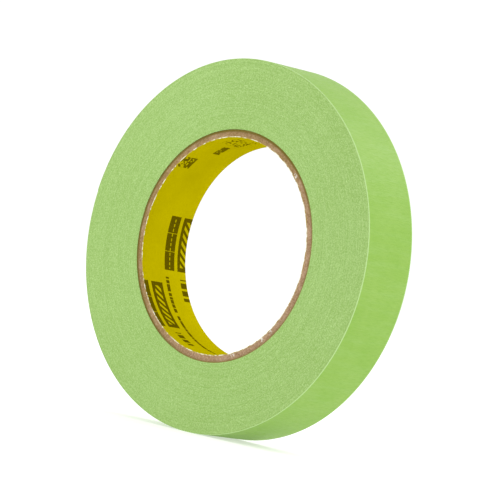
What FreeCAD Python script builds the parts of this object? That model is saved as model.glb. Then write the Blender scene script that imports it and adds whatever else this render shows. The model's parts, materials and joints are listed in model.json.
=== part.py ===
import FreeCAD, Part
import math
import os

# A roll of crepe-paper masking tape, 24 mm nominal width and 55 m long, wound on a three-inch core of
# spirally wound chipboard, standing on its rim.
# Frame: origin at the middle of the core's bore, +Y along the roll's axis (the front side face looks
# towards -Y), +Z up.  Angles are measured in the XZ plane from +X towards +Z.  Millimetres.

# ---- core -------------------------------------------------------------------------------------------
BORE_RADIUS = 38.1            # three-inch bore
CORE_WIDTH = 22.7             # cut length of the core
LINER_THICKNESS = 0.3         # printed paper inside the bore
PLY_THICKNESS = 0.41          # one layer of chipboard
PLY_COUNT = 5
PLY_RECESS = 0.05             # the chipboard's cut ends sit this far behind the liner's edge
WRAP_THICKNESS = 0.35         # dark kraft layer under the tape
SEAM_GAP = 0.3                # gap where the two edges of a ply meet
SEAM_FIRST_ANGLE = 20.0       # where the innermost ply's seam starts on the front end
SEAM_STAGGER = 137.5          # each ply's seam is turned on from the one inside it
SEAM_TWIST = 76.0             # how far a seam runs round the core from end to end
SEAM_SECTIONS = 9             # cross-sections along one seam

# ---- tape -------------------------------------------------------------------------------------------
TAPE_WIDTH = 23.1             # 24 mm nominal, as slit
FRONT_STAND_OUT = 0.1         # how far the tape's edge stands out past the core on the front
BACKING_THICKNESS = 0.116     # crepe paper
ADHESIVE_THICKNESS = 0.036    # rubber adhesive on the backing's inner side
TURNS = 163                   # laps under the outermost one
FREE_END_ANGLE = 170.0        # where the tape ends, on the rear upper quarter
PEEL_LENGTH = 40.0            # the lifted length of the free end

# ---- clearances of the free end ----------------------------------------------------------------------
LIFT = 0.03                   # under the free end
ROOT_GAP = 0.05               # between the free end's root and the turn that it continues

TAPE_THICKNESS = BACKING_THICKNESS + ADHESIVE_THICKNESS
CORE_RADIUS = BORE_RADIUS + LINER_THICKNESS + PLY_COUNT * PLY_THICKNESS + WRAP_THICKNESS
PACK_RADIUS = CORE_RADIUS + TURNS * TAPE_THICKNESS
CORE_FRONT = -CORE_WIDTH / 2
PLY_FRONT = CORE_FRONT + PLY_RECESS
PLY_WIDTH = CORE_WIDTH - 2 * PLY_RECESS
TAPE_FRONT = CORE_FRONT - FRONT_STAND_OUT
HINGE_RADIUS = PACK_RADIUS + TAPE_THICKNESS
PEEL_ANGLE = math.degrees(PEEL_LENGTH / HINGE_RADIUS)

ALONG = FreeCAD.Vector(0, 1, 0)


def point(radius, angle, y, centre=(0.0, 0.0)):
    """The point at this radius and angle round a centre given as (x, z)."""
    a = math.radians(angle)
    return FreeCAD.Vector(centre[0] + radius * math.cos(a), y, centre[1] + radius * math.sin(a))


def ring(inner, outer, front, width):
    """A plain ring round the roll's axis."""
    start = FreeCAD.Vector(0, front, 0)
    return Part.makeCylinder(outer, width, start, ALONG).cut(Part.makeCylinder(inner, width, start, ALONG))


def seam_blade(inner, outer, start_angle):
    """The thin twisted gap that a spirally wound ply leaves where its edges meet."""
    margin = 0.3
    sections = []
    for i in range(SEAM_SECTIONS):
        part = i / (SEAM_SECTIONS - 1)
        angle = start_angle + SEAM_TWIST * part
        half = math.degrees(SEAM_GAP / 2 / inner)
        y = CORE_FRONT - margin + (CORE_WIDTH + 2 * margin) * part
        corners = [
            point(inner - margin, angle - half, y),
            point(outer + margin, angle - half, y),
            point(outer + margin, angle + half, y),
            point(inner - margin, angle + half, y),
        ]
        sections.append(Part.makePolygon(corners + corners[:1]))
    return Part.makeLoft(sections, True, True)


def ply(number):
    """Chipboard layer, counted from the bore outwards from 1, open along its slanting seam."""
    inner = BORE_RADIUS + LINER_THICKNESS + (number - 1) * PLY_THICKNESS
    outer = inner + PLY_THICKNESS
    seam = seam_blade(inner, outer, SEAM_FIRST_ANGLE + SEAM_STAGGER * (number - 1))
    return ring(inner, outer, PLY_FRONT, PLY_WIDTH).cut(seam)


# The outside of the winding is a spiral that climbs one tape thickness in a turn.  It is drawn with two
# half circles: the first is centred a quarter of a thickness behind the roll's axis as seen from the
# free end, the second the same distance in front of it with a radius half a thickness larger, so they
# meet smoothly and the spiral ends exactly one thickness outside its own start.
def half_turn(number):
    """Centre (x, z), extra radius and first angle of half turn 0 or 1 of the spiral."""
    shift = TAPE_THICKNESS / 4 * (2 * number - 1)
    a = math.radians(FREE_END_ANGLE)
    centre = (shift * math.cos(a), shift * math.sin(a))
    return centre, number * TAPE_THICKNESS / 2, FREE_END_ANGLE + 180.0 * number


def spiral_point(radius, turned, y):
    """The spiral's point after turning this many degrees from its start."""
    centre, extra, _ = half_turn(0 if turned < 180.0 else 1)
    return point(radius + extra, FREE_END_ANGLE + turned, y, centre)


def spiral_edges(radius, start, stop, y):
    """Arcs of the spiral from one turned angle to another, joined at the half turn."""
    edges = []
    for number in (0, 1):
        low = max(start, 180.0 * number)
        high = min(stop, 180.0 * (number + 1))
        if high <= low:
            continue
        centre, extra, _ = half_turn(number)
        a = [FREE_END_ANGLE + low, FREE_END_ANGLE + (low + high) / 2, FREE_END_ANGLE + high]
        ends = [point(radius + extra, each, y, centre) for each in a]
        edges.append(Part.Arc(*ends).toShape())
    return edges


def spiral_band(inner, outer, start, stop):
    """A layer of the outermost turn between two radii, over part of its turn."""
    inside = spiral_edges(inner, start, stop, TAPE_FRONT)
    outside = spiral_edges(outer, start, stop, TAPE_FRONT)
    ends = [
        Part.makeLine(inside[0].Vertexes[0].Point, outside[0].Vertexes[0].Point),
        Part.makeLine(inside[-1].Vertexes[-1].Point, outside[-1].Vertexes[-1].Point),
    ]
    outline = Part.Wire(Part.__sortEdges__(inside + outside + ends))
    return Part.Face(outline).extrude(ALONG * TAPE_WIDTH)


def wound_pack():
    """All laps under the outermost one, as one ring whose outside is the spiral with its one step."""
    outside = spiral_edges(PACK_RADIUS, 0.0, 360.0, TAPE_FRONT)
    step = Part.makeLine(outside[-1].Vertexes[-1].Point, outside[0].Vertexes[0].Point)
    outline = Part.Wire(Part.__sortEdges__(outside + [step]))
    disc = Part.Face(outline).extrude(ALONG * TAPE_WIDTH)
    bore = Part.makeCylinder(CORE_RADIUS, TAPE_WIDTH, FreeCAD.Vector(0, TAPE_FRONT, 0), ALONG)
    return disc.cut(bore)


def make_parts():
    """Every node's solid by name."""
    glue_top = PACK_RADIUS + ADHESIVE_THICKNESS
    gap = math.degrees(ROOT_GAP / 2 / HINGE_RADIUS)
    hinge = 360.0 - PEEL_ANGLE
    wrap = CORE_RADIUS - WRAP_THICKNESS
    parts = {"core_liner": ring(BORE_RADIUS, BORE_RADIUS + LINER_THICKNESS, CORE_FRONT, CORE_WIDTH)}
    for number in range(1, PLY_COUNT + 1):
        parts[f"core_ply_{number}"] = ply(number)
    parts["core_outer_wrap"] = ring(wrap, CORE_RADIUS, PLY_FRONT, PLY_WIDTH)
    parts["tape_wound_pack"] = wound_pack()
    parts["outer_turn_adhesive"] = spiral_band(PACK_RADIUS, glue_top, 0.0, hinge - gap)
    parts["outer_turn_backing"] = spiral_band(glue_top, HINGE_RADIUS, 0.0, hinge - gap)
    parts["free_end_adhesive"] = spiral_band(PACK_RADIUS + LIFT, glue_top + LIFT, hinge + gap, 360.0)
    parts["free_end_backing"] = spiral_band(glue_top + LIFT, HINGE_RADIUS + LIFT, hinge + gap, 360.0)
    return parts


os.makedirs("parts", exist_ok=True)
for name, shape in make_parts().items():
    if len(shape.Solids) != 1 or not shape.isValid():
        raise SystemExit(f"{name}: {len(shape.Solids)} solids, valid {shape.isValid()}")
    shape.Solids[0].exportStep(f"parts/{name}.step")
    print(f"{name:22s} {shape.Volume:12.3f} mm3")

peel = spiral_point(HINGE_RADIUS, 360.0 - PEEL_ANGLE, 0.0)
length = (PACK_RADIUS + CORE_RADIUS) * math.pi * TURNS / 1000.0
print(f"peel line x {peel.x:.4f} z {peel.z:.4f}, outside radius {HINGE_RADIUS:.3f}, about {length:.1f} m of tape")
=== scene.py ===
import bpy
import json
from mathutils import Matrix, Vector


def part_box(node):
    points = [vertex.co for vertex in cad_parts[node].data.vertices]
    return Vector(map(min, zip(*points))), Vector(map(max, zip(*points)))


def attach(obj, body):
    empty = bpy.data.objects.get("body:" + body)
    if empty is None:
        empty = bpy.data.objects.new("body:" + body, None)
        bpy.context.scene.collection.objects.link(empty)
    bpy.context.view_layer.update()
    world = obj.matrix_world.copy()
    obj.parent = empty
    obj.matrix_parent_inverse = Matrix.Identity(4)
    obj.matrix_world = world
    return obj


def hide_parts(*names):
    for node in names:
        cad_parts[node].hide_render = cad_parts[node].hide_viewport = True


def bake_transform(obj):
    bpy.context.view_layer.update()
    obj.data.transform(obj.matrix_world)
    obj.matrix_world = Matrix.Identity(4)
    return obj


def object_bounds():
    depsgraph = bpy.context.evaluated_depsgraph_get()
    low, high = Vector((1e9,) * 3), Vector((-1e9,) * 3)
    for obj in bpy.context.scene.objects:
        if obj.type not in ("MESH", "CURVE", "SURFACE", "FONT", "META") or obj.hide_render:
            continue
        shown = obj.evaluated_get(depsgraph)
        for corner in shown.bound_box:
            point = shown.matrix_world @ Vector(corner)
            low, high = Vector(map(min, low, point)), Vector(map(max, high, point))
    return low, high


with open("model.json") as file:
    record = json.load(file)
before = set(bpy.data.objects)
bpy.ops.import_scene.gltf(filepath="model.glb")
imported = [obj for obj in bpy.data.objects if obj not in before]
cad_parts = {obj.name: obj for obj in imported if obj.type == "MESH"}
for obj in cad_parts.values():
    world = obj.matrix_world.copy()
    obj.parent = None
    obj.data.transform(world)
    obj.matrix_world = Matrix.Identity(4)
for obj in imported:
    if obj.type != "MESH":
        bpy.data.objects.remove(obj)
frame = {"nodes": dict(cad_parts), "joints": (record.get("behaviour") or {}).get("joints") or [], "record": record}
cad_box = [list(corner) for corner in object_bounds()]

import json
import math

import bmesh
import bpy
import numpy as np
from mathutils import Matrix, Vector

# A roll of crepe masking tape standing on its rim, in metres.  The roll's axis is Y and its front side
# looks towards -Y.  Angles go round the axis from +X towards +Z.  "Turned" counts turns along the
# outermost lap, from the place under the tape's free end (0) round to the free end itself (1).
MM = 0.001
TAU = 2 * math.pi
rng = np.random.default_rng(7)


def outer_radius(node):
    """Half the height of a round node."""
    low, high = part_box(node)
    return (high.z - low.z) / 2


# ---- sizes from the frame ----------------------------------------------------------------------------
MOUNTS = {mount["name"]: mount for mount in frame["record"]["mounts"]}
BORE = MOUNTS["core_bore"]["dims"]["r_mm"] * MM
LINER_RADIUS = outer_radius("core_liner")
CORE_RADIUS = outer_radius("core_outer_wrap")
PLIES = sorted(name for name in frame["nodes"] if name.startswith("core_ply_"))
FRONT, BACK = (corner.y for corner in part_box("tape_wound_pack"))
CORE_FRONT, CORE_BACK = (corner.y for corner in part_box("core_liner"))
PLY_FRONT, PLY_BACK = (corner.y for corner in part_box(PLIES[0]))
PEEL_LINE = Vector(frame["joints"][0]["pos_m"])

# ---- sizes of the strip ------------------------------------------------------------------------------
TAPE = 0.152 * MM                 # thickness, paper and adhesive
GLUE = 0.036 * MM                 # adhesive on the paper's inner side
LAPS = 163                        # under the outermost one
PACK_RADIUS = CORE_RADIUS + LAPS * TAPE
ROLL_RADIUS = PACK_RADIUS + TAPE
HINGE_TURN = 1 - 40 * MM / (TAU * ROLL_RADIUS)
FREE_END_ANGLE = math.atan2(PEEL_LINE.z, PEEL_LINE.x) + TAU * (1 - HINGE_TURN)
LIFT = 0.03 * MM                  # the free end's clearance from the lap under it

# ---- sizes of the core -------------------------------------------------------------------------------
PLY = 0.41 * MM
SEAM_FIRST, SEAM_STAGGER, SEAM_TWIST = (math.radians(degrees) for degrees in (20.0, 137.5, 76.0))
SEAM_GAP = 0.3 * MM


# ---- shapes ------------------------------------------------------------------------------------------
def spiral_radius(turned):
    """Radius of the surface on which the outermost lap lies."""
    return PACK_RADIUS + TAPE * (np.asarray(turned) - 0.25)


def around(radius, angle, y):
    """Points at this radius and angle round the roll's axis, one row of x, y, z for each."""
    radius, angle, y = np.broadcast_arrays(radius, angle, y)
    return np.stack([radius * np.cos(angle), y, radius * np.sin(angle)], axis=-1).reshape(-1, 3)


def ripples(count, wave_u, wave_v, period=None):
    """A function of u and v: random ripple of about -1 to 1 with waves this short to this long each way.

    With a period, a whole number of waves fits into that length of u."""
    frequency_u = 1 / rng.uniform(*wave_u, count)
    frequency_v = rng.choice([-1, 1], count) / rng.uniform(*wave_v, count)
    phase = rng.uniform(size=count)
    if period:
        frequency_u = np.maximum(1, np.round(frequency_u * period)) / period

    def ripple(u, v=0.0):
        total = 0.0
        for fu, fv, start in zip(frequency_u, frequency_v, phase):
            total = total + np.cos(TAU * (fu * np.asarray(u) + fv * np.asarray(v) + start))
        return total / math.sqrt(count)

    return ripple


def grid_faces(rows, columns, close_rows=False, close_columns=False):
    """Quads of a grid of vertices that are numbered row by row."""
    r = np.arange(rows if close_rows else rows - 1)
    c = np.arange(columns if close_columns else columns - 1)
    r, c = np.meshgrid(r, c, indexing="ij")
    r2, c2 = (r + 1) % rows, (c + 1) % columns
    corners = [r * columns + c, r * columns + c2, r2 * columns + c2, r2 * columns + c]
    return np.stack(corners, axis=-1).reshape(-1, 4)


def make_piece(name, vertices, quads, caps=(), tone=None, wall_quads=0):
    """A mesh object from arrays.  The last wall_quads of the quads take the second material."""
    mesh = bpy.data.meshes.new(name)
    faces = quads.tolist() + [list(cap) for cap in caps]
    mesh.from_pydata(vertices.tolist(), [], faces)
    rest = mesh.attributes.new("rest", "FLOAT_VECTOR", "POINT")
    rest.data.foreach_set("vector", np.asarray(vertices, np.float32).ravel())
    shade = mesh.attributes.new("tone", "FLOAT", "POINT")
    values = np.full(len(vertices), 0.5) if tone is None else tone
    shade.data.foreach_set("value", np.asarray(values, np.float32).ravel())
    slots = np.zeros(len(faces), np.int32)
    slots[len(quads) - wall_quads:len(quads)] = 1 if wall_quads else 0
    mesh.polygons.foreach_set("material_index", slots)
    mesh.polygons.foreach_set("use_smooth", np.full(len(faces), True))
    mesh.update()
    mesh.validate()
    piece = bpy.data.objects.new(name, mesh)
    bpy.context.scene.collection.objects.link(piece)
    outward(mesh)
    mesh.set_sharp_from_angle(angle=math.radians(50))
    return piece


def outward(mesh):
    """Turns every face of a closed mesh so that it looks out of the solid."""
    shell = bmesh.new()
    shell.from_mesh(mesh)
    bmesh.ops.recalc_face_normals(shell, faces=shell.faces)
    shell.to_mesh(mesh)
    shell.free()


def place(piece, node, slot, *materials, body="roll"):
    """Puts a finished piece in the place of a CAD node."""
    for material in materials:
        piece.data.materials.append(material)
    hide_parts(node)
    if body:
        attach(piece, body)
    return piece


# ---- materials ---------------------------------------------------------------------------------------
STUDIO_LIGHT = 1.2                # how bright this studio makes a matt white surface


def srgb(red, green, blue, light=STUDIO_LIGHT):
    """The shader colour of a surface that looks like this colour, in 0..255, under this much light."""
    parts = [value / 255 for value in (red, green, blue)]
    return [(v / 12.92 if v <= 0.04045 else ((v + 0.055) / 1.055) ** 2.4) / light for v in parts] + [1.0]


class Shader:
    """The nodes of one material."""

    def __init__(self, name):
        self.material = bpy.data.materials.new(name)
        self.material.use_nodes = True
        self.tree = self.material.node_tree
        self.surface = self.tree.nodes["Principled BSDF"]
        attribute = self.node("ShaderNodeAttribute", attribute_name="rest")
        self.place = attribute.outputs["Vector"]
        split = self.node("ShaderNodeSeparateXYZ")
        self.put(split.inputs[0], self.place)
        self.x, self.y, self.z = split.outputs
        across = self.math("MULTIPLY", self.x, self.x)
        up = self.math("MULTIPLY", self.z, self.z)
        self.radius = self.math("SQRT", self.math("ADD", across, up))
        self.angle = self.math("ARCTAN2", self.z, self.x)

    def node(self, kind, **settings):
        made = self.tree.nodes.new(kind)
        for key, value in settings.items():
            setattr(made, key, value)
        return made

    def put(self, socket, value):
        """Links a socket to another, or sets its own value."""
        if isinstance(value, bpy.types.NodeSocket):
            self.tree.links.new(value, socket)
        else:
            socket.default_value = value

    def math(self, operation, a, b=0.0, c=0.0):
        made = self.node("ShaderNodeMath", operation=operation)
        for socket, value in zip(made.inputs, (a, b, c)):
            self.put(socket, value)
        return made.outputs[0]

    def lowest(self, *values):
        least = values[0]
        for value in values[1:]:
            least = self.math("MINIMUM", least, value)
        return least

    def join(self, x, y, z=0.0):
        made = self.node("ShaderNodeCombineXYZ")
        for socket, value in zip(made.inputs, (x, y, z)):
            self.put(socket, value)
        return made.outputs[0]

    def noise(self, size, detail=3.0, roughness=0.55, vector=None):
        """Noise with features of about this size in metres."""
        made = self.node("ShaderNodeTexNoise")
        self.put(made.inputs["Vector"], self.place if vector is None else vector)
        made.inputs["Scale"].default_value = 1 / size
        made.inputs["Detail"].default_value = detail
        made.inputs["Roughness"].default_value = roughness
        return made.outputs["Fac"]

    def span(self, value, low, high, to_low=0.0, to_high=1.0):
        made = self.node("ShaderNodeMapRange", clamp=True)
        for socket, v in zip(made.inputs, (value, low, high, to_low, to_high)):
            self.put(socket, v)
        return made.outputs[0]

    def mix(self, share, a, b):
        made = self.node("ShaderNodeMix", data_type="RGBA")
        self.put(made.inputs[0], share)
        self.put(made.inputs[6], a)
        self.put(made.inputs[7], b)
        return made.outputs[2]

    def tone(self):
        return self.node("ShaderNodeAttribute", attribute_name="tone").outputs["Fac"]

    def strip(self, stretch):
        """Coordinates along the wall of a ring, with the direction across the strip shrunk by stretch."""
        along = self.math("MULTIPLY", self.angle, ROLL_RADIUS)
        return self.join(along, self.math("MULTIPLY", self.y, stretch))

    def rings(self):
        """Coordinates in which everything is drawn out along circles round the axis."""
        x = self.math("MULTIPLY", self.x, 0.04)
        z = self.math("MULTIPLY", self.z, 0.04)
        return self.join(self.radius, x, z)

    def shaded_side(self):
        """How much painted shade darkens the core: fully at its upper left, a third at its lower right."""
        across = self.math("MULTIPLY_ADD", self.z, 0.7, self.math("MULTIPLY", self.x, -0.7))
        uneven = self.math("MULTIPLY_ADD", self.noise(7 * MM), 24 * MM, across)
        return self.span(uneven, -14 * MM, 16 * MM, 0.3, 1.0)

    def bump(self, height, distance):
        made = self.node("ShaderNodeBump")
        made.inputs["Distance"].default_value = distance
        self.put(made.inputs["Height"], height)
        self.put(self.surface.inputs["Normal"], made.outputs[0])

    def finish(self, colour, roughness, specular):
        self.put(self.surface.inputs["Base Color"], colour)
        self.put(self.surface.inputs["Roughness"], roughness)
        self.surface.inputs["Specular IOR Level"].default_value = specular
        return self.material


def crepe_paper():
    """The tape's outer side: saturated crinkled paper, pale along its two slit edges, with frayed fibres and a
    painted highlight on the rounded rim.
    """
    s = Shader("crepe_paper")
    crinkle = s.noise(0.45 * MM, 3.0, 0.6, s.strip(0.15))
    fibre = s.noise(0.2 * MM, 2.0, 0.6)
    streak = s.noise(2.5 * MM, 2.0, 0.5, s.strip(0.1))
    patch = s.noise(11 * MM, 3.0)
    colour = s.mix(s.span(patch, 0.3, 0.7), srgb(148, 193, 80), srgb(156, 197, 90))
    colour = s.mix(s.span(streak, 0.45, 0.7, 0.0, 0.35), colour, srgb(162, 203, 110))
    colour = s.mix(s.span(crinkle, 0.45, 0.7, 0.0, 0.42), colour, srgb(134, 181, 70))
    colour = s.mix(s.span(fibre, 0.55, 0.8, 0.0, 0.3), colour, srgb(174, 211, 126))
    # pale frayed fibres along both slit edges, brightened further as a painted highlight on the rim
    edge = s.lowest(s.math("SUBTRACT", s.y, FRONT), s.math("SUBTRACT", BACK, s.y))
    worn = s.math("MULTIPLY_ADD", s.noise(0.7 * MM), 0.25 * MM, edge)
    colour = s.mix(s.span(worn, 0.36 * MM, 0.62 * MM, 0.9, 0.0), colour, srgb(194, 229, 156))
    s.bump(s.math("MULTIPLY_ADD", fibre, 0.3, crinkle), 0.07 * MM)
    return s.finish(colour, s.span(crinkle, 0.3, 0.7, 0.42, 0.54), 0.16)


def wound_edges():
    """The slit edges of all the laps: fine lines round the roll, mottled by fibres and by the slitting, with
    painted shade in the grooves between laps.
    """
    s = Shader("wound_edges")
    around_roll = s.math("MULTIPLY", s.angle, 0.25 * ROLL_RADIUS)
    line = s.noise(0.45 * MM, 3.0, 0.6, s.join(s.radius, around_roll))
    grain = s.noise(0.5 * MM, 4.0, 0.7)
    mottle = s.noise(5 * MM, 4.0, 0.6)
    cloud = s.noise(35 * MM, 2.0)
    tone = s.tone()
    colour = s.mix(s.span(cloud, 0.35, 0.65), srgb(160, 193, 113), srgb(164, 197, 119))
    colour = s.mix(s.span(mottle, 0.45, 0.7, 0.0, 0.25), colour, srgb(172, 206, 128))
    colour = s.mix(s.span(line, 0.45, 0.72, 0.0, 0.62), colour, srgb(137, 175, 87))
    colour = s.mix(s.span(grain, 0.5, 0.68, 0.0, 0.7), colour, srgb(192, 224, 152))
    colour = s.mix(s.span(grain, 0.5, 0.32, 0.0, 0.66), colour, srgb(136, 175, 86))
    # the tone carries painted shade, darker in the grooves between laps and lighter on their crests, besides
    # random changes from lap to lap
    colour = s.mix(s.span(tone, 0.5, 1.0, 0.0, 0.4), colour, srgb(186, 219, 146))
    colour = s.mix(s.span(tone, 0.5, 0.0, 0.0, 0.4), colour, srgb(132, 172, 84))
    s.bump(grain, 0.03 * MM)
    return s.finish(colour, s.span(grain, 0.3, 0.7, 0.65, 0.8), 0.08)


def adhesive():
    """The tacky film on the tape's inner side, streaked along the strip."""
    s = Shader("adhesive")
    streak = s.noise(1.4 * MM, 3.0, 0.6, s.strip(6.0))
    speck = s.noise(0.35 * MM, 2.0)
    colour = s.mix(s.span(streak, 0.35, 0.65), srgb(172, 200, 110), srgb(188, 212, 130))
    colour = s.mix(s.span(speck, 0.55, 0.75, 0.0, 0.4), colour, srgb(204, 220, 152))
    s.bump(s.math("MULTIPLY_ADD", speck, 0.5, streak), 0.03 * MM)
    return s.finish(colour, s.span(speck, 0.3, 0.7, 0.3, 0.5), 0.5)


TORN_SPOTS = (46, 291, 312, 318)  # degrees, where white liner fibres stick to the core's front end
CHIPBOARD = ((200, 166, 138), (160, 127, 96))          # light and dark fibres of the board where no painted shade falls
SHADED_CHIPBOARD = ((180, 150, 106), (144, 115, 72))  # and the same fibres darkened as painted shade


def torn_spot(s, degrees):
    """Mask of a small place at this angle on the front end of the core."""
    c, n = math.cos(math.radians(degrees)), math.sin(math.radians(degrees))
    outward_part = s.math("MULTIPLY_ADD", s.x, c, s.math("MULTIPLY", s.z, n))
    sideways = s.math("MULTIPLY_ADD", s.x, -n, s.math("MULTIPLY", s.z, c))
    near = s.span(s.math("ABSOLUTE", sideways), 0.4 * MM, 1.1 * MM, 1.0, 0.0)
    near = s.math("MULTIPLY", near, s.math("GREATER_THAN", outward_part, 0.0))
    on_front = s.math("LESS_THAN", s.y, PLY_FRONT + 0.4 * MM)
    return s.math("MULTIPLY", near, on_front)


def chipboard(number):
    """One layer of the core: grey-brown fibres, each layer a little different from the next, darkened by painted
    shade towards its upper left and next to the tape.
    """
    s = Shader(f"chipboard_{number}")
    rings = s.noise(0.22 * MM, 2.0, 0.5, s.rings())
    fibre = s.noise(0.6 * MM, 4.0, 0.7)
    blotch = s.noise(5 * MM, 3.0, 0.6)
    shade = 0.97 - 0.03 * number
    pale, dark, shaded_pale, shaded_dark = (
        [value * shade for value in srgb(*colour)[:3]] + [1.0]
        for colour in CHIPBOARD + SHADED_CHIPBOARD
    )
    # painted shade: the fibres turn to their darker copies towards the upper left of the core
    shaded = s.shaded_side()
    light_fibres = s.mix(shaded, pale, shaded_pale)
    dark_fibres = s.mix(shaded, dark, shaded_dark)
    colour = s.mix(s.span(fibre, 0.38, 0.62), dark_fibres, light_fibres)
    colour = s.mix(s.span(rings, 0.5, 0.7, 0.0, 0.5), colour, dark_fibres)
    colour = s.mix(s.span(blotch, 0.5, 0.7, 0.0, 0.4), colour, srgb(205, 176, 148))
    # painted shade: a dark band along the outer edge of the core, in the recess under the tape's edge, strongest
    # at the upper left
    edge_shade = s.span(s.radius, CORE_RADIUS - 1.0 * MM, CORE_RADIUS - 0.6 * MM)
    colour = s.mix(s.math("MULTIPLY", edge_shade, shaded), colour, srgb(118, 100, 42))
    torn = s.span(s.noise(0.5 * MM, 2.0), 0.46, 0.54)
    inner_part = s.span(s.radius, LINER_RADIUS + 0.9 * MM, LINER_RADIUS + 1.4 * MM, 1.0, 0.0)
    torn = s.math("MULTIPLY", torn, inner_part)
    for degrees in TORN_SPOTS:
        colour = s.mix(s.math("MULTIPLY", torn_spot(s, degrees), torn), colour, srgb(232, 228, 214))
    s.bump(s.math("ADD", fibre, rings), 0.08 * MM)
    return s.finish(colour, 0.85, 0.15)


def kraft():
    """The core's dark outer layer under the tape, with painted shade darkening it towards its upper left."""
    s = Shader("kraft")
    fibre = s.noise(0.5 * MM, 4.0, 0.7)
    blotch = s.noise(6 * MM, 3.0, 0.6)
    unshaded = s.mix(s.span(fibre, 0.35, 0.65), srgb(136, 118, 62), srgb(158, 138, 84))
    # painted shade: a darker copy of the kraft colour, mixed in towards the upper left
    shaded = s.mix(s.span(fibre, 0.35, 0.65), srgb(100, 87, 26), srgb(124, 107, 42))
    colour = s.mix(s.shaded_side(), unshaded, shaded)
    colour = s.mix(s.span(blotch, 0.55, 0.75, 0.0, 0.3), colour, srgb(158, 138, 84))
    s.bump(fibre, 0.06 * MM)
    return s.finish(colour, 0.85, 0.15)


# The liner's print is one group of marks that repeats along a slant.  Places in it are given as degrees
# round the bore and millimetres along it, in the group nearest to the front.
GROUP_STEP = (37.2, 14.6)         # degrees back and millimetres on to the next group
GROUP_START = -14.3               # where the front group begins
REPEAT = 180.0                    # degrees round the bore to the same marks again
INK_EDGE = 0.08                   # millimetres over which the ink fades out


class Print:
    """Masks of printed marks on the liner, 1 where there is ink."""

    def __init__(self, shader):
        self.s = s = shader
        self.along = s.math("MULTIPLY", s.y, 1 / MM)
        wobble = s.math("MULTIPLY_ADD", s.noise(0.6 * MM, 3.0, 0.7), 0.3, -0.15)
        degrees = s.math("MULTIPLY", s.angle, 180 / math.pi)
        self.degrees = s.math("FLOORED_MODULO", degrees, 360.0)
        step = s.math("FLOOR", s.math("DIVIDE", s.math("SUBTRACT", self.along, GROUP_START), GROUP_STEP[1]))
        turned = s.math("MULTIPLY_ADD", step, GROUP_STEP[0], self.degrees)
        folded = s.math("FLOORED_MODULO", turned, REPEAT)
        self.group_degrees = s.math("ADD", folded, REPEAT)
        self.group_along = s.math("MULTIPLY_ADD", step, -GROUP_STEP[1], self.along)
        self.per_degree = BORE / MM * math.radians(1)
        self.wobble = wobble

    def box(self, degrees, along, angles, ys):
        """A rectangle of ink between two angles and two places along the bore."""
        s = self.s
        sides = [
            s.math("MULTIPLY", s.math("SUBTRACT", degrees, angles[0]), self.per_degree),
            s.math("MULTIPLY", s.math("SUBTRACT", angles[1], degrees), self.per_degree),
            s.math("SUBTRACT", along, ys[0]),
            s.math("SUBTRACT", ys[1], along),
        ]
        inside = s.math("ADD", s.lowest(*sides), self.wobble)
        return s.span(inside, -INK_EDGE, INK_EDGE)

    def group_box(self, angles, ys):
        return self.box(self.group_degrees, self.group_along, angles, ys)

    def stripes(self, pitch, share, slant=0.0):
        """Bars across the strip, each taking this share of the pitch in degrees."""
        s = self.s
        across = s.math("MULTIPLY_ADD", self.group_along, slant, self.group_degrees)
        phase = s.math("FLOORED_MODULO", across, pitch)
        return s.math("LESS_THAN", phase, pitch * share)

    def words(self, size):
        """Dashes of uneven length along the strip, about this many millimetres long."""
        s = self.s
        along_strip = s.math("MULTIPLY", self.group_degrees, self.per_degree * MM)
        return s.span(s.noise(size * MM, 1.0, 0.4, s.join(along_strip, 0.0)), 0.42, 0.46)

    def dots(self, angles, ys, pitch, keep):
        """Small ink dots on a grid inside a box, with some of them missing."""
        s = self.s
        u = s.math("MULTIPLY", self.degrees, self.per_degree / pitch)
        v = s.math("DIVIDE", self.along, pitch)
        du = s.math("SUBTRACT", s.math("FRACT", u), 0.5)
        dv = s.math("SUBTRACT", s.math("FRACT", v), 0.5)
        apart = s.math("SQRT", s.math("MULTIPLY_ADD", du, du, s.math("MULTIPLY", dv, dv)))
        dot = s.span(apart, 0.5, 0.64, 1.0, 0.0)
        chance = s.node("ShaderNodeTexWhiteNoise", noise_dimensions="2D")
        s.put(chance.inputs["Vector"], s.join(s.math("FLOOR", u), s.math("FLOOR", v)))
        kept = s.math("LESS_THAN", chance.outputs["Value"], keep)
        area = self.box(self.degrees, self.along, angles, ys)
        return s.math("MULTIPLY", s.math("MULTIPLY", dot, kept), area)

    def together(self, *masks):
        most = masks[0]
        for mask in masks[1:]:
            most = self.s.math("MAXIMUM", most, mask)
        return most

    def without(self, mask, hole):
        return self.s.math("MULTIPLY", mask, self.s.math("SUBTRACT", 1.0, hole))


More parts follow.
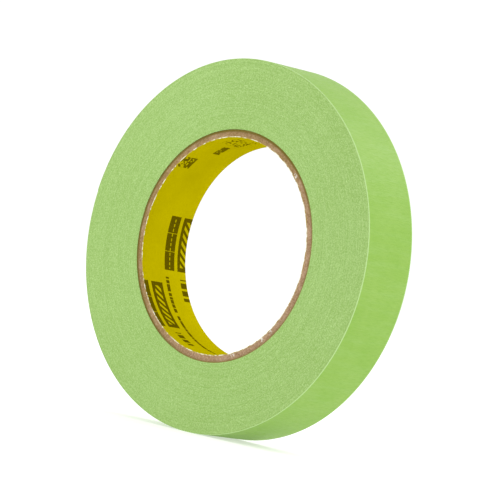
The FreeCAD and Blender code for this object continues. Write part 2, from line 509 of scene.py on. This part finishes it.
def printed_paper():
    """The liner: yellow print on white paper, with plain generic marks in dark ink."""
    s = Shader("printed_paper")
    grain = s.noise(0.7 * MM, 4.0, 0.6)
    cloud = s.noise(14 * MM, 3.0)
    streak = s.noise(2.2 * MM, 3.0, 0.6, s.strip(4.0))
    colour = s.mix(s.span(cloud, 0.35, 0.65), srgb(194, 180, 0), srgb(204, 190, 0))
    colour = s.mix(s.span(streak, 0.4, 0.7, 0.0, 0.4), colour, srgb(182, 168, 0))
    colour = s.mix(s.span(grain, 0.55, 0.8, 0.0, 0.3), colour, srgb(212, 199, 8))
    p = Print(s)
    bars = s.math("MULTIPLY", p.stripes(4.2, 0.5, -1.3), p.group_box((208.5, 233.5), (-6.2, -3.1)))
    upper = p.without(p.group_box((206.3, 235.8), (-7.6, -1.75)), bars)
    rules = s.math("MULTIPLY", p.stripes(9.8, 0.03), p.group_box((209.5, 235.0), (-14.3, -9.2)))
    dashes = s.math("MULTIPLY", p.stripes(2.6, 0.62), p.group_box((207.5, 235.0), (-11.85, -11.4)))
    lower = p.without(p.group_box((206.3, 235.8), (-14.3, -9.2)), p.together(rules, dashes))
    squares = s.math("MULTIPLY", p.stripes(4.4, 0.7), p.group_box((240.0, 252.8), (-6.5, -3.5)))
    first_words = s.math("MULTIPLY", p.words(0.8), p.group_box((239.7, 261.0), (-14.05, -12.45)))
    other_words = s.math("MULTIPLY", p.words(0.6), p.group_box((263.5, 300.0), (-13.95, -12.65)))
    codes = p.together(
        p.dots((131.7, 140.0), (-11.0, -7.75), 0.62, 0.5),
        p.dots((131.7, 140.0), (-7.75, -4.75), 0.62, 0.85),
        p.dots((116.0, 125.0), (-1.75, 1.5), 0.62, 0.8),
        p.dots((100.0, 113.0), (-6.5, 4.0), 0.7, 0.34),
    )
    ink = p.together(upper, lower, squares, first_words, other_words, codes)
    worn = s.span(s.noise(0.3 * MM, 2.0), 0.25, 0.4, 0.6, 1.0)
    colour = s.mix(s.math("MULTIPLY", ink, worn), colour, srgb(100, 87, 0))
    edge = s.lowest(s.math("SUBTRACT", s.y, CORE_FRONT), s.math("SUBTRACT", CORE_BACK, s.y))
    ragged = s.math("MULTIPLY_ADD", s.noise(0.9 * MM, 3.0, 0.6), -0.7 * MM, edge)
    fibres = s.mix(s.span(s.noise(1.8 * MM, 3.0, 0.6), 0.46, 0.56), srgb(176, 152, 84), srgb(240, 236, 210))
    colour = s.mix(s.span(ragged, -0.36 * MM, -0.24 * MM, 1.0, 0.0), colour, fibres)
    colour = s.mix(s.math("GREATER_THAN", s.radius, BORE + 0.05 * MM), colour, fibres)
    s.bump(grain, 0.02 * MM)
    return s.finish(colour, s.span(grain, 0.3, 0.7, 0.6, 0.75), 0.0)


# ---- the tape ----------------------------------------------------------------------------------------
CREPE = ripples(46, (0.35 * MM, 0.95 * MM), (3 * MM, 16 * MM))
CREPE_HEIGHT = 0.011 * MM
STEP_ROUND = 144                  # stations round one lap of the wound tape
LAP_STATIONS = 2600               # stations along the paper of the outermost lap
FILM_STATIONS = 720               # and along its adhesive
FREE_STATIONS = 500               # stations along both layers of the free end
PAPER_COLUMNS = 26                # vertices across the crepe side
SLIT_ROUND = 0.06 * MM            # width of the rounded slit edge
CREPE_INSET = 0.35 * MM           # the evenly spaced columns start this far from the slit edge
RAGGED = 0.16 * MM                # how uneven the cut of the free end is

# Each side of the wound tape is drawn by two spirals, the groove between two laps and the crest of a lap:
# the number of laps, the place in the lap's thickness, the depth in millimetres and the tone, which is painted
# shade: lower in the groove, higher on the crest.
GROOVE = (LAPS + 1, -0.25, 0.035, 0.38)
CREST = (LAPS, 0.25, 0.0, 0.55)


def wound_side(level, outward_sign):
    """Vertices and tones of one wound side, which is level with y: a groove and a crest for each lap."""
    along = ripples(60, (0.1, 0.55), (1.0, 2.0))
    bands = ripples(40, (0.5 * MM, 5 * MM), (1.0, 2.0))
    swell = ripples(24, (14 * MM, 60 * MM), (14 * MM, 60 * MM))
    rows = []
    tones = []
    for laps, rise, depth, shade in (GROOVE, CREST):
        turned = np.arange(laps * STEP_ROUND + 1) / STEP_ROUND
        radius = np.maximum(CORE_RADIUS + TAPE * (turned + rise), CORE_RADIUS)
        angle = FREE_END_ANGLE + TAU * turned
        x, z = radius * np.cos(angle), radius * np.sin(angle)
        uneven = 0.014 * along(turned) + 0.003 * bands(radius) + 0.016 * swell(x, z)
        inset = (depth + 0.03 + np.clip(uneven, -0.03, 0.06)) * MM
        rows.append(around(radius, angle, level - outward_sign * inset))
        # painted shade in the tone: each groove darker and each crest lighter, plus random changes from lap to lap
        tones.append(shade + 0.14 * along(turned) + 0.05 * bands(radius))
    return rows, np.clip(np.concatenate(tones), 0, 1)


def wound_tape():
    """All the laps under the outermost one, as one spiral whose two sides show every lap's edge."""
    grooves = (LAPS + 1) * STEP_ROUND + 1
    side_size = grooves + LAPS * STEP_ROUND + 1
    front, front_tone = wound_side(FRONT, -1)
    back, back_tone = wound_side(BACK, 1)
    i = np.arange(LAPS * STEP_ROUND)
    rising = np.stack([i, i + 1, grooves + i + 1, grooves + i], axis=-1)
    falling = np.stack([grooves + i, grooves + i + 1, i + 1 + STEP_ROUND, i + STEP_ROUND], axis=-1)
    side = np.concatenate([rising, falling])
    last = LAPS * STEP_ROUND
    inner_loop = np.append(np.arange(STEP_ROUND + 1), grooves)
    outer_loop = np.append(np.arange(last, grooves), grooves + last)
    walls = []
    for loop in (inner_loop, outer_loop):
        ahead = np.roll(loop, -1)
        walls.append(np.stack([loop, ahead, ahead + side_size, loop + side_size], axis=-1))
    quads = np.concatenate([side, side + side_size] + walls)
    vertices = np.concatenate(front + back)
    tone = np.concatenate([front_tone, back_tone])
    return make_piece("wound_tape", vertices, quads, tone=tone, wall_quads=sum(map(len, walls)))


def tape_layer(name, start, stop, low, high, stations, columns, crepe, lift=0.0, ragged=0.0):
    """One layer of the outermost lap, between two heights above the lap that it lies on.

    Its outer side carries the crepe.  It rises to the lift just after its start, and a ragged end
    has this amplitude."""
    middle = np.linspace(FRONT + CREPE_INSET, BACK - CREPE_INSET, columns)
    outer_y = np.concatenate([[FRONT, FRONT + SLIT_ROUND], middle, [BACK - SLIT_ROUND, BACK]])
    shoulder = 0.35 * (high - low)
    outer_h = np.concatenate([[high - shoulder, high], np.full(columns, high), [high, high - shoulder]])
    inner_y = np.linspace(BACK, FRONT, 3)
    y = np.concatenate([outer_y, inner_y])
    height = np.concatenate([outer_h, np.full(3, low)])
    share = np.concatenate([np.full(len(outer_y), 1.0), np.full(3, 0.0)])
    end = stop - ragged * ripples(18, (0.8 * MM, 4 * MM), (1.0, 2.0))(y) / (TAU * ROLL_RADIUS)
    part = np.linspace(0.0, 1.0, stations + 1)[:, None]
    turned = start + (end[None, :] - start) * part
    along = turned * TAU * ROLL_RADIUS
    lifted = lift * np.clip((turned - start) * TAU * ROLL_RADIUS / (3 * MM), 0, 1)
    crinkled = crepe * share * CREPE(along, y[None, :])
    radius = spiral_radius(turned) + height + lifted + crinkled
    slit = 0.015 * MM * np.cos(TAU * along / (9 * MM)) * np.sign(y)[None, :]
    edge = (np.abs(y - (FRONT + BACK) / 2) > (BACK - FRONT) / 2 - 0.1 * MM)[None, :]
    where_y = y[None, :] - np.where(edge, 0.01 * MM * np.sign(y)[None, :] + slit * 0.4, 0.0)
    vertices = around(radius, FREE_END_ANGLE + TAU * turned, where_y)
    count = len(y)
    quads = grid_faces(stations + 1, count, close_columns=True)
    first = range(count)
    final = range(stations * count, (stations + 1) * count)
    return make_piece(name, vertices, quads, caps=(first, final))


def outer_lap():
    """The outermost lap: the part that stays on the roll, and the free end that peels off it."""
    paper, film = crepe_paper(), adhesive()
    top = GLUE * 0.98
    lap = (0.0, HINGE_TURN)
    end = (HINGE_TURN, 1.0)
    stuck = tape_layer("outer_turn_paper", *lap, GLUE, TAPE, LAP_STATIONS, PAPER_COLUMNS, CREPE_HEIGHT)
    place(stuck, "outer_turn_backing", "crepe_paper", paper)
    stuck_film = tape_layer("outer_turn_glue", *lap, 0.0, top, FILM_STATIONS, 4, 0.0)
    place(stuck_film, "outer_turn_adhesive", "adhesive", film)
    free = tape_layer(
        "free_end_paper", *end, GLUE, TAPE, FREE_STATIONS, PAPER_COLUMNS, CREPE_HEIGHT, LIFT, RAGGED
    )
    place(free, "free_end_backing", "crepe_paper", paper, body=None)
    free_film = tape_layer("free_end_glue", *end, 0.0, top, FREE_STATIONS, 8, 0.0, LIFT, RAGGED)
    place(free_film, "free_end_adhesive", "adhesive", film, body=None)
    for piece in (free, free_film):
        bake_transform(piece)
    return paper


# ---- the core ----------------------------------------------------------------------------------------
RING_STATIONS = 720               # stations round a layer of the core
END_COLUMNS = 4                   # vertices across its cut end
WALL_COLUMNS = 8                  # and along its wall
END_ROUND = 0.06 * MM             # the wall stops this far short of the cut ends


def core_ring(name, inner, outer, front, back, fuzz, seam=None):
    """A paper ring with fibrous cut ends, closed or open along a slanting seam that starts at this angle."""
    soft = 0.12 * (outer - inner)
    depth = np.linspace(0, 1, END_COLUMNS)
    end_radius = inner + soft + (outer - inner - 2 * soft) * depth
    wall = np.linspace(front + END_ROUND, back - END_ROUND, WALL_COLUMNS)
    outer_wall, inner_wall = np.full(WALL_COLUMNS, outer), np.full(WALL_COLUMNS, inner)
    radius = np.concatenate([end_radius, outer_wall, end_radius[::-1], inner_wall])
    y = np.concatenate([np.full(END_COLUMNS, front), wall, np.full(END_COLUMNS, back), wall[::-1]])
    flat = np.zeros(WALL_COLUMNS)
    is_end = np.concatenate([np.full(END_COLUMNS, -1.0), flat, np.full(END_COLUMNS, 1.0), flat])
    girth = TAU * (inner + outer) / 2
    fuzz_shape = ripples(50, (0.5 * MM, 4 * MM), (0.3 * MM, 2 * MM), girth)
    share = np.linspace(0, 1, RING_STATIONS + 1)[:-1 if seam is None else None, None]
    angle = TAU * share
    if seam is not None:
        gap = SEAM_GAP / inner
        twist = SEAM_TWIST * (y[None, :] - front) / (back - front)
        angle = seam + twist + gap / 2 + (TAU - gap) * share
    frayed = fuzz * fuzz_shape(angle * girth / TAU, radius[None, :])
    where_y = y[None, :] + is_end[None, :] * (np.clip(frayed, -2 * fuzz, fuzz) - fuzz)
    vertices = around(np.broadcast_to(radius, where_y.shape), np.broadcast_to(angle, where_y.shape), where_y)
    count = len(y)
    rows = vertices.shape[0] // count
    quads = grid_faces(rows, count, close_rows=seam is None, close_columns=True)
    caps = () if seam is None else (range(count), range((rows - 1) * count, rows * count))
    return make_piece(name, vertices, quads, caps=caps)


def core():
    """The printed liner, the chipboard layers round it and the dark layer under the tape."""
    liner = core_ring("printed_liner", BORE, LINER_RADIUS, CORE_FRONT, CORE_BACK, 0.035 * MM)
    place(liner, "core_liner", "printed_paper", printed_paper())
    for number, node in enumerate(PLIES, 1):
        inner = LINER_RADIUS + (number - 1) * PLY
        seam = SEAM_FIRST + SEAM_STAGGER * (number - 1)
        name = f"chipboard_layer_{number}"
        layer = core_ring(name, inner, inner + PLY, PLY_FRONT, PLY_BACK, 0.03 * MM, seam)
        place(layer, node, "chipboard", chipboard(number))
    inner = LINER_RADIUS + len(PLIES) * PLY
    wrap = core_ring("kraft_layer", inner, CORE_RADIUS, PLY_FRONT, PLY_BACK, 0.03 * MM)
    place(wrap, "core_outer_wrap", "kraft", kraft())


# ---- stage, light and camera -------------------------------------------------------------------------
CAMERA_AZIMUTH = math.radians(42.2)
CAMERA_ROLL = math.radians(10.78)
CAMERA_DISTANCE = 18.45 * ROLL_RADIUS
CAMERA_AIM = (0.1455 * ROLL_RADIUS, -0.0227 * ROLL_RADIUS)    # right and up of the front side's centre
CAMERA_LENS = 251.8


def camera():
    """Level with the roll and turned to its +X side, tilted about its own line of sight."""
    data = bpy.data.cameras.new("camera")
    data.lens = CAMERA_LENS
    data.sensor_width = 36
    data.clip_end = 50
    forward = Vector((-math.sin(CAMERA_AZIMUTH), math.cos(CAMERA_AZIMUTH), 0))
    level = Vector((math.cos(CAMERA_AZIMUTH), math.sin(CAMERA_AZIMUTH), 0))
    vertical = Vector((0, 0, 1))
    right = level * math.cos(CAMERA_ROLL) + vertical * math.sin(CAMERA_ROLL)
    up = vertical * math.cos(CAMERA_ROLL) - level * math.sin(CAMERA_ROLL)
    aim = Vector((0, FRONT, 0)) + right * CAMERA_AIM[0] + up * CAMERA_AIM[1]
    turn = Matrix((right, up, -forward)).transposed().to_4x4()
    made = bpy.data.objects.new("camera", data)
    made.matrix_world = Matrix.Translation(aim - forward * CAMERA_DISTANCE) @ turn
    bpy.context.scene.collection.objects.link(made)
    bpy.context.scene.camera = made


def lamp(name, direction, distance, size, power):
    """A soft square light that looks at the roll from this direction."""
    data = bpy.data.lights.new(name, "AREA")
    data.energy = power
    data.size = size
    made = bpy.data.objects.new(name, data)
    away = Vector(direction).normalized()
    turn = away.to_track_quat("Z", "Y").to_matrix().to_4x4()
    made.matrix_world = Matrix.Translation(away * distance) @ turn
    made.visible_camera = False
    bpy.context.scene.collection.objects.link(made)


FLOOR_RADII = (0.0, 0.1, 0.3, 1.0, 4.0)
FLOOR_SIDES = 96


def floor():
    """A wide pale disc under the roll."""
    low = cad_box[0][2]
    shape = (len(FLOOR_RADII), FLOOR_SIDES)
    reach = np.broadcast_to(np.array(FLOOR_RADII)[:, None], shape)
    angle = np.broadcast_to((np.arange(FLOOR_SIDES) * TAU / FLOOR_SIDES)[None, :], shape)
    vertices = around(reach, angle, 0.0)[:, [0, 2, 1]] + np.array([0, 0, low])
    mesh = bpy.data.meshes.new("floor")
    mesh.from_pydata(vertices.tolist(), [], grid_faces(*shape, close_columns=True).tolist())
    disc = bpy.data.objects.new("floor", mesh)
    bpy.context.scene.collection.objects.link(disc)
    pale = bpy.data.materials.new("floor")
    pale.use_nodes = True
    surface = pale.node_tree.nodes["Principled BSDF"].inputs
    surface["Base Color"].default_value = (0.6, 0.6, 0.6, 1)
    surface["Roughness"].default_value = 0.9
    surface["Emission Color"].default_value = (1, 1, 1, 1)
    surface["Emission Strength"].default_value = 0.5
    mesh.materials.append(pale)


def studio():
    """White surroundings, a soft key light from behind and above, and weaker lights from left and right."""
    world = bpy.data.worlds.new("studio")
    world.use_nodes = True
    world.node_tree.nodes["Background"].inputs["Color"].default_value = (1, 1, 1, 1)
    world.node_tree.nodes["Background"].inputs["Strength"].default_value = 1.08
    bpy.context.scene.world = world
    lamp("key", (0.21, 0.74, 0.64), 1.4, 0.6, 4)
    lamp("fill", (-0.5, -0.85, 0.04), 0.6, 0.2, 1.0)
    lamp("side", (0.9, 0.35, 0.4), 1.0, 0.5, 1.0)
    bpy.context.scene.view_settings.view_transform = "Standard"


# ---- the scene ---------------------------------------------------------------------------------------
paper = outer_lap()
place(wound_tape(), "tape_wound_pack", "wound_tape", wound_edges(), paper)
core()
floor()
studio()
camera()
